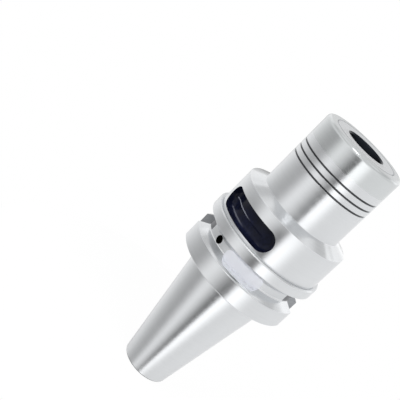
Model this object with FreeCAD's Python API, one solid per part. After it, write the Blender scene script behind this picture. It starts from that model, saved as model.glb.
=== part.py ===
"""Hydraulic expansion chuck with a 7/24 taper shank of size 40 and a 20 mm clamping bore.

Millimetres, +Z up towards the nose. The origin is the centre of the taper's gauge plane.
The drive slots face -X and +X, and the clamping cylinder lies across the +Y side.
"""

import FreeCAD, Part
import math
import os

from FreeCAD import Vector

# Steep taper shank
gauge_diameter = 44.45
taper_ratio = 7.0 / 24.0
taper_length = 65.4
small_end_chamfer = 0.8

# Flange with the gripper groove
flange_start = 2.0
flange_end = 27.0
flange_diameter = 63.0
flange_chamfer = 0.5
groove_height = 16.6
groove_mouth = 10.0
groove_depth = 5.0
groove_flank_angle = 30.0

# Drive slots, from the flange's lower face up
drive_slot_width = 16.1
drive_slot_land = 0.375
drive_slot_end = 21.2
drive_slot_corner = 3.0

# Flats milled into the groove floor
flat_depth = 2.4
flat_width = 8.4
flat_length = 23.0

# Balancing screws in the groove floor
balance_hole_radius = 2.1
balance_hole_azimuth = -40.4
balance_hole_depth = 11.0
balance_screw_length = 5.0
balance_screw_sink = 4.0
balance_socket_flats = 2.0
balance_socket_depth = 2.0

# Body and nose
body_diameter = 59.5
shoulder_rise = 3.0
nose_diameter = 45.0
gauge_length = 90.0
nose_chamfer = 1.2

# Turned ring grooves on the nose
ring_groove_count = 3
ring_groove_from_face = 15.2
ring_groove_pitch = 3.5
ring_groove_width = 0.9
ring_groove_depth = 0.5

# Arc-shaped balancing recess in the body
recess_width = 11.4
recess_depth = 5.0
recess_floor_fillet = 2.6
recess_azimuth = -34.4
recess_half_span = 27.6
recess_above_flange = 7.1

# Expansion sleeve
bore_diameter = 20.0
bore_chamfer = 1.0
clamping_depth = 51.0
sleeve_outer_radius = 13.8
sleeve_flange_radius = 17.3
sleeve_flange_length = 4.0
membrane_wall = 2.2
chamber_length = 13.0
chamber_gap = 7.0
rear_land = 7.5
link_groove_width = 3.0
link_groove_depth = 0.8
braze_gap = 0.03

# Length adjusting screw, whose top is the tool's stop at the sleeve's rear end
adjuster_thread_radius = 8.0
adjuster_thread_length = 18.0
adjuster_shank_radius = 6.3
adjuster_shank_length = 17.0
adjuster_socket_flats = 8.0
adjuster_socket_depth = 6.0
adjuster_coolant_radius = 2.3
seal_bore_radius = 6.5
seal_bore_spare = 1.0
o_ring_section = 0.95
o_ring_from_tail = 3.2
coolant_bore_radius = 4.0

# Pull stud thread in the small end
stud_pilot_radius = 8.5
stud_pilot_depth = 7.0
stud_thread_radius = 7.0
stud_thread_length = 30.0

# Clamping cylinder across the body
cylinder_offset = 15.5
cylinder_wall = 1.2
shoulder_above_cylinder = 12.8
screw_bore_radius = 5.0
screw_mouth_margin = 0.7
screw_mouth_distance = 20.0
screw_sink = 0.5
screw_length = 9.0
screw_travel = 5.0
screw_bore_spare = 1.0
screw_socket_flats = 5.0
screw_socket_depth = 4.5
screw_point_radius = 3.0
screw_point_length = 2.0
edge_chamfer = 0.5
piston_bore_radius = 4.0
piston_length = 7.5
spigot_radius = 2.0
spigot_length = 3.5
backup_ring_length = 1.5
seal_length = 4.0
seal_dish_depth = 1.2
seal_lip = 0.6
oil_space = 1.0

# Bleed screw at the far end of the cylinder
oil_passage_radius = 1.25
oil_passage_length = 2.5
oil_duct_radius = 1.0
bleed_bore_radius = 3.0
bleed_point_radius = 0.6
bleed_screw_length = 6.0
bleed_mouth_margin = 0.7
bleed_mouth_sink = 0.4
bleed_socket_flats = 3.0
bleed_socket_depth = 2.5

# Clearances
thread_clearance = 0.05
fit_clearance = 0.02
seat_gap = 0.1

# Heights and places worked out from the sizes above
small_end_radius = (gauge_diameter - taper_length * taper_ratio) / 2
groove_floor = flange_diameter / 2 - groove_depth
drive_slot_floor = gauge_diameter / 2 + drive_slot_land
flat_distance = groove_floor - flat_depth
sleeve_rear = gauge_length - clamping_depth
adjuster_thread_end = sleeve_rear - adjuster_thread_length
thread_bottom = adjuster_thread_end - seat_gap
adjuster_tail = adjuster_thread_end - adjuster_shank_length
seal_bore_bottom = adjuster_tail - seal_bore_spare
stud_thread_top = -taper_length + stud_pilot_depth + stud_thread_length
cylinder_height = sleeve_rear - cylinder_wall - screw_bore_radius
shoulder_start = cylinder_height + shoulder_above_cylinder
recess_height = flange_end + recess_above_flange
screw_outer = screw_mouth_distance - screw_sink
screw_tip = screw_outer - screw_length
piston_outer = screw_tip - screw_point_length
piston_inner = piston_outer - piston_length
seal_outer = piston_inner - backup_ring_length
seal_inner = seal_outer - seal_length
screw_bore_end = screw_tip - screw_travel - screw_bore_spare
piston_bore_end = seal_inner - screw_travel - oil_space
oil_passage_end = piston_bore_end - oil_passage_length
bleed_screw_outer = oil_passage_end - bleed_screw_length
bleed_mouth = bleed_screw_outer - bleed_mouth_sink
rear_chamber_start = sleeve_rear + rear_land
front_chamber_start = rear_chamber_start + chamber_length + chamber_gap
chamber_floor_radius = bore_diameter / 2 + membrane_wall

drill_point_angle = 59.0
far_outside = flange_diameter
axis_z = Vector(0, 0, 1)
axis_x = Vector(1, 0, 0)
cylinder_base = Vector(0, cylinder_offset, cylinder_height)


def turned(outline):
    """Solid of revolution about Z from a closed outline of (radius, height) points."""
    points = [Vector(r, 0, z) for r, z in outline]
    face = Part.Face(Part.makePolygon(points + points[:1]))
    return face.revolve(Vector(0, 0, 0), axis_z, 360)


def rod(radius, start, end):
    """Cylinder on the chuck's axis between two heights."""
    return Part.makeCylinder(radius, end - start, Vector(0, 0, start), axis_z)


def cross_rod(radius, start, end):
    """Cylinder on the clamping cylinder's axis between two distances along X."""
    low = min(start, end)
    return Part.makeCylinder(radius, abs(end - start), cylinder_base + Vector(low, 0, 0), axis_x)


def cross_turned(outline):
    """Solid of revolution about the clamping cylinder's axis from (radius, distance) points."""
    points = [cylinder_base + Vector(x, r, 0) for r, x in outline]
    face = Part.Face(Part.makePolygon(points + points[:1]))
    return face.revolve(cylinder_base, axis_x, 360)


def hexagon(across_flats, length, mouth, inwards):
    """Hexagonal prism for a socket, from the centre of its mouth inwards."""
    corner = across_flats / math.sqrt(3)
    points = [Vector(corner * math.cos(math.radians(60 * k)), corner * math.sin(math.radians(60 * k)), 0)
              for k in range(7)]
    prism = Part.Face(Part.makePolygon(points)).extrude(Vector(0, 0, length))
    prism.Placement = FreeCAD.Placement(mouth, FreeCAD.Rotation(axis_z, inwards))
    return prism


def azimuth_direction(azimuth):
    """Horizontal direction at an azimuth in degrees, from -Y towards +X."""
    angle = math.radians(azimuth)
    return Vector(math.sin(angle), -math.cos(angle), 0)


def outer_blank():
    """Turned outside of the shank, flange, body and nose, still without holes."""
    rim = flange_diameter / 2
    floor = groove_floor
    flank_rise = groove_depth * math.tan(math.radians(groove_flank_angle))
    half_mouth = groove_mouth / 2
    body = body_diameter / 2
    nose = nose_diameter / 2
    gauge = gauge_diameter / 2
    outline = [
        (0, -taper_length),
        (small_end_radius - small_end_chamfer, -taper_length),
        (small_end_radius + small_end_chamfer * taper_ratio / 2, -taper_length + small_end_chamfer),
        (gauge, 0),
        (gauge, flange_start),
        (rim - flange_chamfer, flange_start),
        (rim, flange_start + flange_chamfer),
        (rim, groove_height - half_mouth),
        (floor, groove_height - half_mouth + flank_rise),
        (floor, groove_height + half_mouth - flank_rise),
        (rim, groove_height + half_mouth),
        (rim, flange_end - flange_chamfer),
        (rim - flange_chamfer, flange_end),
        (body, flange_end),
        (body, shoulder_start),
        (nose, shoulder_start + shoulder_rise),
        (nose, gauge_length - nose_chamfer),
        (nose - nose_chamfer, gauge_length),
        (0, gauge_length),
    ]
    return turned(outline)


def ring_grooves():
    """The narrow grooves turned around the nose."""
    nose = nose_diameter / 2
    rings = []
    for number in range(ring_groove_count):
        middle = gauge_length - ring_groove_from_face - number * ring_groove_pitch
        low = middle - ring_groove_width / 2
        blank = rod(nose + 1, low, low + ring_groove_width)
        rings.append(blank.cut(rod(nose - ring_groove_depth, low, low + ring_groove_width)))
    return rings


def drive_slot(side):
    """One drive slot, open towards the shank, with rounded upper corners."""
    half = drive_slot_width / 2
    length = drive_slot_end - flange_start + flange_chamfer
    slot = Part.makeBox(far_outside, drive_slot_width, length,
                        Vector(drive_slot_floor, -half, flange_start - flange_chamfer))
    corners = [edge for edge in slot.Edges
               if abs(edge.CenterOfMass.z - drive_slot_end) < 1e-6
               and abs(abs(edge.CenterOfMass.y) - half) < 1e-6]
    slot = slot.makeFillet(drive_slot_corner, corners)
    if side < 0:
        slot.rotate(Vector(0, 0, 0), axis_z, 180)
    return slot


def groove_flat(side):
    """Round-ended flat in the groove floor, on the -Y side for side -1 and +Y for side 1."""
    radius = flat_width / 2
    reach = flat_length / 2 - radius
    block = Part.makeBox(2 * reach, far_outside, flat_width,
                         Vector(-reach, flat_distance, groove_height - radius))
    ends = [Part.makeCylinder(radius, far_outside, Vector(x, flat_distance, groove_height), Vector(0, 1, 0))
            for x in (-reach, reach)]
    flat = block.fuse(ends).removeSplitter()
    if side < 0:
        flat.rotate(Vector(0, 0, 0), axis_z, 180)
    return flat


def balance_hole(azimuth):
    """Radial threaded hole with a drill point, from the groove floor inwards."""
    outwards = azimuth_direction(azimuth)
    bottom = groove_floor - balance_hole_depth
    point = balance_hole_radius / math.tan(math.radians(drill_point_angle))
    start = outwards * bottom + Vector(0, 0, groove_height)
    hole = Part.makeCylinder(balance_hole_radius, balance_hole_depth + 1, start, outwards)
    tip = Part.makeCone(0, balance_hole_radius, point, start - outwards * point, outwards)
    return hole.fuse(tip)


def recess_half_section():
    """Upper half of the recess's cross-section, in the XZ plane, with its inner corner rounded."""
    half = recess_width / 2
    floor = body_diameter / 2 - recess_depth
    outer = body_diameter / 2 + recess_depth
    fillet = min(recess_floor_fillet, 0.45 * recess_width, 0.9 * recess_depth)
    bend = fillet * (1 - math.sqrt(0.5))

    def at(r, z):
        return Vector(r, 0, recess_height + z)

    corner = Part.Arc(at(floor, half - fillet), at(floor + bend, half - bend), at(floor + fillet, half))
    edges = [
        Part.LineSegment(at(floor, 0), at(floor, half - fillet)).toShape(),
        corner.toShape(),
        Part.LineSegment(at(floor + fillet, half), at(outer, half)).toShape(),
        Part.LineSegment(at(outer, half), at(outer, 0)).toShape(),
        Part.LineSegment(at(outer, 0), at(floor, 0)).toShape(),
    ]
    return Part.Face(Part.Wire(edges))


def balancing_recess():
    """Cutter forms of the arc-shaped recess: its two halves along the arc, and its round ends."""
    first = recess_azimuth - recess_half_span - 90
    last = recess_azimuth + recess_half_span - 90
    upper = recess_half_section()
    lower = upper.mirror(Vector(0, 0, recess_height), axis_z)
    end_form = upper.revolve(Vector(0, 0, recess_height), axis_x, 360)
    cutters = []
    for half in (upper, lower):
        half.rotate(Vector(0, 0, 0), axis_z, first)
        cutters.append(half.revolve(Vector(0, 0, 0), axis_z, last - first))
    for angle in (first, last):
        end = end_form.copy()
        end.rotate(Vector(0, 0, 0), axis_z, angle)
        cutters.append(end)
    return cutters


def axial_bores():
    """Everything bored on the chuck's own axis, from the small end to the sleeve's seat."""
    flange_seat = gauge_length - sleeve_flange_length
    return [
        rod(stud_pilot_radius, -taper_length, -taper_length + stud_pilot_depth),
        rod(stud_thread_radius, -taper_length, stud_thread_top),
        rod(coolant_bore_radius, stud_thread_top, seal_bore_bottom),
        rod(seal_bore_radius, seal_bore_bottom, thread_bottom),
        rod(adjuster_thread_radius, thread_bottom, sleeve_rear),
        rod(sleeve_outer_radius + braze_gap, sleeve_rear, flange_seat),
        rod(sleeve_flange_radius + braze_gap, flange_seat, gauge_length),
    ]


def cylinder_bores():
    """The clamping cylinder, its screw's mouth, the oil passage and the bleed screw's bore."""
    return [
        cross_rod(screw_bore_radius + screw_mouth_margin, screw_mouth_distance, far_outside),
        cross_rod(screw_bore_radius, screw_bore_end, screw_mouth_distance),
        cross_rod(piston_bore_radius, piston_bore_end, screw_bore_end),
        cross_rod(oil_passage_radius, oil_passage_end, piston_bore_end),
        cross_rod(bleed_bore_radius, bleed_mouth, oil_passage_end),
        cross_rod(bleed_bore_radius + bleed_mouth_margin, -far_outside, bleed_mouth),
    ]


def oil_duct():
    """Slanted drilling from the oil passage to the rear oil chamber."""
    middle = (piston_bore_end + oil_passage_end) / 2
    start = cylinder_base + Vector(middle, 0, 0)
    inwards = Vector(-middle, -cylinder_offset, 0)
    inwards.normalize()
    target = Vector(0, 0, rear_chamber_start + oil_duct_radius * 2) - inwards * (sleeve_outer_radius - 0.5)
    direction = target - start
    return Part.makeCylinder(oil_duct_radius, direction.Length, start, direction)


def holder_body():
    """The one-piece steel holder: shank, flange, body and nose."""
    cuts = ring_grooves() + balancing_recess() + axial_bores() + cylinder_bores()
    cuts += [drive_slot(-1), drive_slot(1), groove_flat(-1), groove_flat(1)]
    cuts += [balance_hole(balance_hole_azimuth), balance_hole(balance_hole_azimuth + 180), oil_duct()]
    body = outer_blank()
    for tool in cuts:
        body = body.cut(tool)
    return body.removeSplitter()


def expansion_sleeve():
    """Thin-walled sleeve whose two membranes close on the tool's shank under oil pressure."""
    bore = bore_diameter / 2
    flange_seat = gauge_length - sleeve_flange_length
    outline = [
        (bore, sleeve_rear),
        (sleeve_outer_radius, sleeve_rear),
        (sleeve_outer_radius, rear_chamber_start),
        (chamber_floor_radius, rear_chamber_start),
        (chamber_floor_radius, rear_chamber_start + chamber_length),
        (sleeve_outer_radius, rear_chamber_start + chamber_length),
        (sleeve_outer_radius, front_chamber_start),
        (chamber_floor_radius, front_chamber_start),
        (chamber_floor_radius, front_chamber_start + chamber_length),
        (sleeve_outer_radius, front_chamber_start + chamber_length),
        (sleeve_outer_radius, flange_seat),
        (sleeve_flange_radius, flange_seat),
        (sleeve_flange_radius, gauge_length),
        (bore + bore_chamfer, gauge_length),
        (bore, gauge_length - bore_chamfer),
    ]
    sleeve = turned(outline)
    link_start = rear_chamber_start + chamber_length
    for turn in (45, 225):
        corner = Vector(sleeve_outer_radius - link_groove_depth, -link_groove_width / 2, link_start)
        link = Part.makeBox(link_groove_depth + 1, link_groove_width, chamber_gap, corner)
        link.rotate(Vector(0, 0, 0), axis_z, turn)
        sleeve = sleeve.cut(link)
    return sleeve


def length_adjusting_screw():
    """Stop screw behind the tool, with a key socket, a coolant hole and a seal groove."""
    thread = adjuster_thread_radius - thread_clearance
    groove = o_ring_circle() - o_ring_section - fit_clearance
    half = o_ring_section + thread_clearance
    middle = adjuster_tail + o_ring_from_tail
    outline = [
        (adjuster_coolant_radius, adjuster_tail),
        (adjuster_shank_radius - edge_chamfer, adjuster_tail),
        (adjuster_shank_radius, adjuster_tail + edge_chamfer),
        (adjuster_shank_radius, middle - half),
        (groove, middle - half),
        (groove, middle + half),
        (adjuster_shank_radius, middle + half),
        (adjuster_shank_radius, adjuster_thread_end),
        (thread, adjuster_thread_end),
        (thread, sleeve_rear - edge_chamfer),
        (thread - edge_chamfer, sleeve_rear),
        (adjuster_coolant_radius, sleeve_rear),
    ]
    screw = turned(outline)
    socket = hexagon(adjuster_socket_flats, adjuster_socket_depth, Vector(0, 0, sleeve_rear), axis_z * -1)
    return screw.cut(socket)


def o_ring_circle():
    """Radius of the circle through the middle of the O-ring's section."""
    return seal_bore_radius - fit_clearance - o_ring_section


def adjusting_screw_o_ring():
    """Rubber ring that seals the coolant at the adjusting screw, its section squeezed to eight flats."""
    middle = adjuster_tail + o_ring_from_tail
    corner = o_ring_section / math.cos(math.pi / 8)
    angles = [math.pi / 8 + k * math.pi / 4 for k in range(8)]
    return turned([(o_ring_circle() + corner * math.cos(a), middle + corner * math.sin(a)) for a in angles])


def clamping_screw():
    """Socket screw with a turned-down point that drives the piston when it is turned in."""
    radius = screw_bore_radius - thread_clearance
    outline = [
        (0, piston_outer),
        (screw_point_radius, piston_outer),
        (screw_point_radius, screw_tip),
        (radius - edge_chamfer, screw_tip),
        (radius, screw_tip + edge_chamfer),
        (radius, screw_outer - edge_chamfer),
        (radius - edge_chamfer, screw_outer),
        (0, screw_outer),
    ]
    mouth = cylinder_base + Vector(screw_outer, 0, 0)
    socket = hexagon(screw_socket_flats, screw_socket_depth, mouth, axis_x * -1)
    return cross_turned(outline).cut(socket)


def pressure_piston():
    """Steel piston that the screw's point presses on, with a spigot for its seals inside."""
    radius = piston_bore_radius - fit_clearance
    outline = [
        (0, piston_inner - spigot_length),
        (spigot_radius, piston_inner - spigot_length),
        (spigot_radius, piston_inner),
        (radius, piston_inner),
        (radius, piston_outer - edge_chamfer),
        (radius - edge_chamfer, piston_outer),
        (0, piston_outer),
    ]
    return cross_turned(outline)


def piston_backup_ring():
    """Stiff plastic ring that backs the seal against the piston."""
    ring = cross_rod(piston_bore_radius - fit_clearance, seal_outer, piston_inner)
    return ring.cut(cross_rod(spigot_radius + fit_clearance, seal_outer, piston_inner))


def piston_seal():
    """Rubber cup on the spigot, dished towards the oil."""
    outer = piston_bore_radius - fit_clearance
    socket = spigot_radius + fit_clearance
    spigot_end = piston_inner - spigot_length - fit_clearance
    outline = [
        (socket, seal_outer),
        (outer, seal_outer),
        (outer, seal_inner),
        (outer - seal_lip, seal_inner),
        (outer - seal_lip - seal_dish_depth, seal_inner + seal_dish_depth),
        (0, seal_inner + seal_dish_depth),
        (0, spigot_end),
        (socket, spigot_end),
    ]
    return cross_turned(outline)


def bleed_screw():
    """Socket screw whose conical point closes the oil passage at its edge."""
    radius = bleed_bore_radius - fit_clearance
    outline = [
        (0, oil_passage_end + oil_passage_radius - bleed_point_radius),
        (bleed_point_radius, oil_passage_end + oil_passage_radius - bleed_point_radius),
        (radius, oil_passage_end + oil_passage_radius - radius),
        (radius, bleed_screw_outer),
        (0, bleed_screw_outer),
    ]
    mouth = cylinder_base + Vector(bleed_screw_outer, 0, 0)
    return cross_turned(outline).cut(hexagon(bleed_socket_flats, bleed_socket_depth, mouth, axis_x))


def balancing_screw(azimuth):
    """Set screw sunk in a radial hole of the groove floor."""
    outwards = azimuth_direction(azimuth)
    outer = groove_floor - balance_screw_sink
    centre = Vector(0, 0, groove_height)
    start = centre + outwards * (outer - balance_screw_length)
    screw = Part.makeCylinder(balance_hole_radius - fit_clearance, balance_screw_length, start, outwards)
    socket = hexagon(balance_socket_flats, balance_socket_depth, centre + outwards * outer, outwards * -1)
    return screw.cut(socket)


pieces = {
    "holder_body": holder_body(),
    "expansion_sleeve": expansion_sleeve(),
    "length_adjusting_screw": length_adjusting_screw(),
    "adjusting_screw_o_ring": adjusting_screw_o_ring(),
    "clamping_screw": clamping_screw(),
    "pressure_piston": pressure_piston(),
    "piston_backup_ring": piston_backup_ring(),
    "piston_seal": piston_seal(),
    "bleed_screw": bleed_screw(),
    "balancing_screw_front": balancing_screw(balance_hole_azimuth),
    "balancing_screw_rear": balancing_screw(balance_hole_azimuth + 180),
}

os.makedirs("parts", exist_ok=True)
for name, shape in pieces.items():
    shape.exportStep(f"parts/{name}.step")
    box = shape.BoundBox
    print(f"{name}: {len(shape.Solids)} solid, valid {shape.isValid()}, {shape.Volume:.1f} mm3, "
          f"z {box.ZMin:.2f} to {box.ZMax:.2f}")
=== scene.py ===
"""Hydraulic expansion chuck: finish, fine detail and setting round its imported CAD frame."""

import math

import bpy
from bpy.props import FloatProperty, FloatVectorProperty, IntProperty, PointerProperty
from bpy.types import Operator, Panel, PropertyGroup
from mathutils import Matrix, Quaternion, Vector


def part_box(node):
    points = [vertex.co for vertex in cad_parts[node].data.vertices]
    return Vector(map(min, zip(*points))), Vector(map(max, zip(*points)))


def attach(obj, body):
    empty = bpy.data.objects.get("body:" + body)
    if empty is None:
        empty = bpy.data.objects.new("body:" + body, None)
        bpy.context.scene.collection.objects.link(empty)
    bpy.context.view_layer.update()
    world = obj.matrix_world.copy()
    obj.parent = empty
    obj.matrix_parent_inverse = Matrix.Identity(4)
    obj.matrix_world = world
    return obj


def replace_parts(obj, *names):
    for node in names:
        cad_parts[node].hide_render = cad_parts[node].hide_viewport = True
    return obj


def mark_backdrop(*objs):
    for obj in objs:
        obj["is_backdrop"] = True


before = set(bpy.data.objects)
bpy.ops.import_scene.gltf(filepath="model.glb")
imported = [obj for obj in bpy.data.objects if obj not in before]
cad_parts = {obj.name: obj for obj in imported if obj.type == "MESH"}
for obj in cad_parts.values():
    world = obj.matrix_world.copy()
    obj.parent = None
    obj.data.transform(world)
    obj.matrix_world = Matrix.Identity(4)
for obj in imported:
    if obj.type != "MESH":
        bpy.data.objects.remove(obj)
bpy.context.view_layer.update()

bl_info = {
    "name": "Hydraulic chuck finish",
    "version": (1, 0, 0),
    "blender": (4, 5, 0),
    "location": "View3D > Sidebar > Chuck",
    "description": "Finishes the turned, milled and black pieces of a hydraulic chuck and sets its studio",
    "category": "Object",
}

MM = 0.001
NOSE_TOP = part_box("holder_body")[1].z / MM
SMALL_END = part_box("holder_body")[0].z / MM
FLANGE_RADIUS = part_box("holder_body")[1].x / MM
SLEEVE_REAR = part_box("expansion_sleeve")[0].z / MM
# Sizes that the CAD model sets, in millimetres from the gauge plane and the axis
GAUGE_RADIUS = 22.225
FLANGE_REAR, FLANGE_FRONT = 2.0, 27.0
GROOVE_HEIGHT, GROOVE_HALF_MOUTH, GROOVE_FLOOR = 16.6, 5.0, 26.5
BODY_RADIUS, BODY_FRONT = 29.75, 45.6
NOSE_RADIUS, SHOULDER_FRONT = 22.5, 48.85
RING_GROOVES = (67.8, 71.3, 74.8)
SLOT_FLOOR, SLOT_HALF_WIDTH, SLOT_TOP, SLOT_CORNER = 22.6, 8.05, 21.2, 3.0
FLAT_FLOOR = 24.1
BALANCE_AZIMUTHS = {"balancing_screw_front": -40.4, "balancing_screw_rear": 139.6}
SEAT_RADIUS, SEAT_DEPTH, BORE_SEAT = 17.33, 4.0, 13.83
# Bores behind the sleeve, as (radius, lower end): the stop screw's thread, its O-ring's bore, the coolant's
# passage, and the pull stud's thread and pilot
BORES = ((8.0, 20.9), (6.5, 3.0), (4.0, -28.4), (7.0, -58.4), (8.5, SMALL_END + 0.5))
CYLINDER = Vector((0, 15.5, 32.8))
# Marks on the pieces of the clamping cylinder run round its axis, which lies along X
ACROSS = {"centre": CYLINDER * MM, "turned": (0, math.pi / 2, 0)}
# Height of a cutter's or a wheel's marks in metres
MARK_DEPTH = 0.00002


def linear(hex_colour):
    """Linear RGBA of an sRGB colour written as #rrggbb."""
    parts = [int(hex_colour[i:i + 2], 16) / 255 for i in (1, 3, 5)]
    return [c / 12.92 if c <= 0.04045 else ((c + 0.055) / 1.055) ** 2.4 for c in parts] + [1.0]


def colour(name, description, hex_colour):
    """Colour property with its default given as sRGB hex."""
    return FloatVectorProperty(name=name, description=description, subtype="COLOR", size=4,
                               min=0, max=1, default=linear(hex_colour))


def distance(name, description, millimetres):
    """Length property with its default given in millimetres."""
    return FloatProperty(name=name, description=description, default=millimetres * MM, unit="LENGTH",
                         subtype="DISTANCE")


class ChuckSizes(PropertyGroup):
    """Sizes of the fine detail that the CAD model leaves out."""

    facets: IntProperty(name="Facets", description="Facets round a turned face", default=360, min=48)
    edge_break: distance("Broken edge", "Small chamfer left by deburring", 0.15)
    line_spacing: distance("Grinding lines", "Distance between grinding lines", 1.1)
    relief_depth: distance("Root relief", "Depth of the relief above the flange", 0.3)
    joint_chamfer: distance("Joint chamfer", "Chamfer at the sleeve's joint circle", 0.4)
    fine_pitch: distance("Fine pitch", "Thread pitch of the clamping and stop screws", 1.0)
    stud_pitch: distance("Stud pitch", "Thread pitch of the pull stud's hole", 2.0)


class ChuckColours(PropertyGroup):
    """Colours of the finishes."""

    ground: colour("Ground steel", "Cylindrically ground case-hardened steel", "#dee0e2")
    front: colour("Ground nose", "The nose above its ring grooves, ground finer", "#d4d7d8")
    milled: colour("Milled steel", "Milled walls of the drive slots", "#b7b9bc")
    # Painted shade: a darker colour for the groove floor beside the drive slots
    slot_side_shade: colour("Painted slot shade", "Groove floor beside the drive slots", "#76777a")
    flat: colour("Milled flat", "Fine-milled flats in the groove", "#f8f9fc")
    # Painted shade: a near-black colour for the bores
    bore: colour("Honed bore", "Bore coloured dark as painted shade", "#24282e")
    enamel: colour("Black enamel", "Stove enamel in the recess", "#0c0f1e")
    # Painted highlight: a pale colour for two thin lines on the recess's floor
    painted_crest_highlight: colour("Painted enamel highlight", "Painted highlight lines on the recess's crests", "#a2a5b2")
    oxide: colour("Black oxide", "Oxidised screws", "#191a1c")
    # Painted shade: a dark colour for the ring grooves' floors
    groove: colour("Ring grooves", "Ring groove floors, dark as painted shade", "#4c4d4f")
    rubber: colour("Nitrile rubber", "Seals", "#141414")
    plastic: colour("Fluoroplastic", "Backup ring", "#e6e6e0")


class StudioSettings(PropertyGroup):
    """Levels of the studio."""

    floor_white: FloatProperty(name="Floor white", description="Share of plain white in the floor's look",
                               default=0.97, min=0, max=1)
    lamp_power: FloatProperty(name="Lamp power", description="Power of the soft key lamp",
                              default=3.0, unit="POWER")
    wall_distance: distance("Wall distance", "Radius of the studio's round wall", 560)


def start():
    """Leaves edit mode and deselects everything."""
    if bpy.context.mode != "OBJECT":
        bpy.ops.object.mode_set(mode="OBJECT")
    bpy.ops.object.select_all(action="DESELECT")


def name_piece(obj, name):
    """Gives an object and its mesh one name."""
    obj.name = name
    obj.data.name = name
    return obj


def activate(obj):
    """Selects one object alone and makes it active."""
    start()
    obj.select_set(True)
    bpy.context.view_layer.objects.active = obj


def draw_line(name, points, closed):
    """Object with a chain of edges through points in millimetres, left in edit mode."""
    start()
    bpy.ops.mesh.primitive_plane_add(size=MM)
    obj = name_piece(bpy.context.object, name)
    bpy.ops.object.mode_set(mode="EDIT")
    bpy.ops.mesh.select_mode(type="VERT")
    bpy.ops.mesh.select_all(action="SELECT")
    bpy.ops.mesh.merge(type="CENTER")
    bpy.ops.transform.translate(value=Vector(points[0]) * MM)
    here = Vector(points[0])
    for point in list(points[1:]) + ([points[0]] if closed else []):
        step = (Vector(point) - here) * MM
        bpy.ops.mesh.extrude_vertices_move(TRANSFORM_OT_translate={"value": step})
        here = Vector(point)
    bpy.ops.mesh.select_all(action="SELECT")
    bpy.ops.mesh.remove_doubles(threshold=0.001 * MM)
    return obj


def turn(name, outline, steps, closed=False, angle=360.0, begin=0.0):
    """Solid turned about Z from (radius, height) points in millimetres."""
    azimuth = math.radians(begin)
    points = [(r * math.sin(azimuth), -r * math.cos(azimuth), z) for r, z in outline]
    obj = draw_line(name, points, closed)
    bpy.ops.mesh.spin(steps=steps, angle=-math.radians(angle), center=(0, 0, 0), axis=(0, 0, 1))
    bpy.ops.mesh.select_all(action="SELECT")
    bpy.ops.mesh.remove_doubles(threshold=0.001 * MM)
    if angle < 360:
        bpy.ops.mesh.fill_holes(sides=0)
        bpy.ops.mesh.select_all(action="SELECT")
    bpy.ops.mesh.normals_make_consistent(inside=False)
    bpy.ops.object.mode_set(mode="OBJECT")
    return obj


def swing(obj, degrees):
    """Turns an object round the chuck's axis and applies the turn."""
    activate(obj)
    obj.rotation_euler.z = math.radians(degrees)
    bpy.ops.object.transform_apply(location=True, rotation=True, scale=True)
    return obj


def from_axis(point):
    """Distance of a point from the chuck's axis."""
    return Vector((point.x, point.y)).length


def arc(radius, angles):
    """Points of an arc round its own centre, at angles in degrees."""
    return [(radius * math.cos(math.radians(a)), radius * math.sin(math.radians(a))) for a in angles]


def set_down(obj, at, towards):
    """Turns an object's Z axis to a direction, moves it to a place in millimetres and applies both."""
    activate(obj)
    turned = Vector(towards).to_track_quat("Z", "Y").to_matrix().to_4x4()
    obj.matrix_world = Matrix.Translation(Vector(at) * MM) @ turned
    bpy.ops.object.transform_apply(location=True, rotation=True, scale=True)
    return obj


def block(name, low, high):
    """Block between two corners in millimetres, its place in its mesh."""
    start()
    low, high = Vector(low) * MM, Vector(high) * MM
    bpy.ops.mesh.primitive_cube_add(size=1, location=(low + high) / 2, scale=high - low)
    bpy.ops.object.transform_apply(location=True, rotation=True, scale=True)
    return name_piece(bpy.context.object, name)


def disc(name, radius, height):
    """Flat disc round the chuck's axis, its place in its mesh."""
    start()
    bpy.ops.mesh.primitive_circle_add(vertices=96, radius=radius, fill_type="NGON", location=(0, 0, height))
    bpy.ops.object.transform_apply(location=True, rotation=True, scale=True)
    return name_piece(bpy.context.object, name)


def round_edges(obj, chosen, radius, segments):
    """Bevels the edges whose middle and direction pass a test, in millimetres."""
    activate(obj)
    mesh = obj.data
    bpy.ops.object.mode_set(mode="EDIT")
    bpy.ops.mesh.select_mode(type="EDGE")
    bpy.ops.mesh.select_all(action="DESELECT")
    bpy.ops.object.mode_set(mode="OBJECT")
    for edge in mesh.edges:
        a, b = (mesh.vertices[i].co / MM for i in edge.vertices)
        edge.select = chosen((a + b) / 2, (b - a).normalized())
    bpy.ops.object.mode_set(mode="EDIT")
    bpy.ops.mesh.bevel(offset=radius * MM, segments=segments, affect="EDGES", profile=0.5)
    bpy.ops.object.mode_set(mode="OBJECT")
    return obj


def combine(obj, other, operation):
    """Joins one solid to another, cuts it out or keeps what both share, and removes it."""
    activate(obj)
    change = obj.modifiers.new("change", "BOOLEAN")
    change.operation = operation
    change.solver = "EXACT"
    change.material_mode = "TRANSFER"
    change.object = other
    bpy.ops.object.modifier_apply(modifier="change")
    bpy.data.objects.remove(other)
    return obj


def carve(obj, cutter, finish):
    """Cuts one solid out of another, and the cut faces take the finish."""
    cutter.data.materials.clear()
    cutter.data.materials.append(finish)
    return combine(obj, cutter, "DIFFERENCE")


def paint_faces(obj, finish, chosen):
    """Gives a finish to the faces whose centre, in millimetres, passes a test."""
    if finish.name not in obj.data.materials:
        obj.data.materials.append(finish)
    number = obj.data.materials.find(finish.name)
    for face in obj.data.polygons:
        if chosen(face.center / MM, face.normal):
            face.material_index = number


def smooth(obj, degrees=28.0):
    """Smooth shading that keeps the edges sharper than an angle."""
    activate(obj)
    bpy.ops.object.shade_smooth_by_angle(angle=math.radians(degrees))
    return obj


def blank_material(name):
    """New material with its shader and output, and its node tree."""
    material = bpy.data.materials.new(name)
    material.use_nodes = True
    tree = material.node_tree
    return material, tree, tree.nodes["Principled BSDF"]


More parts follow.
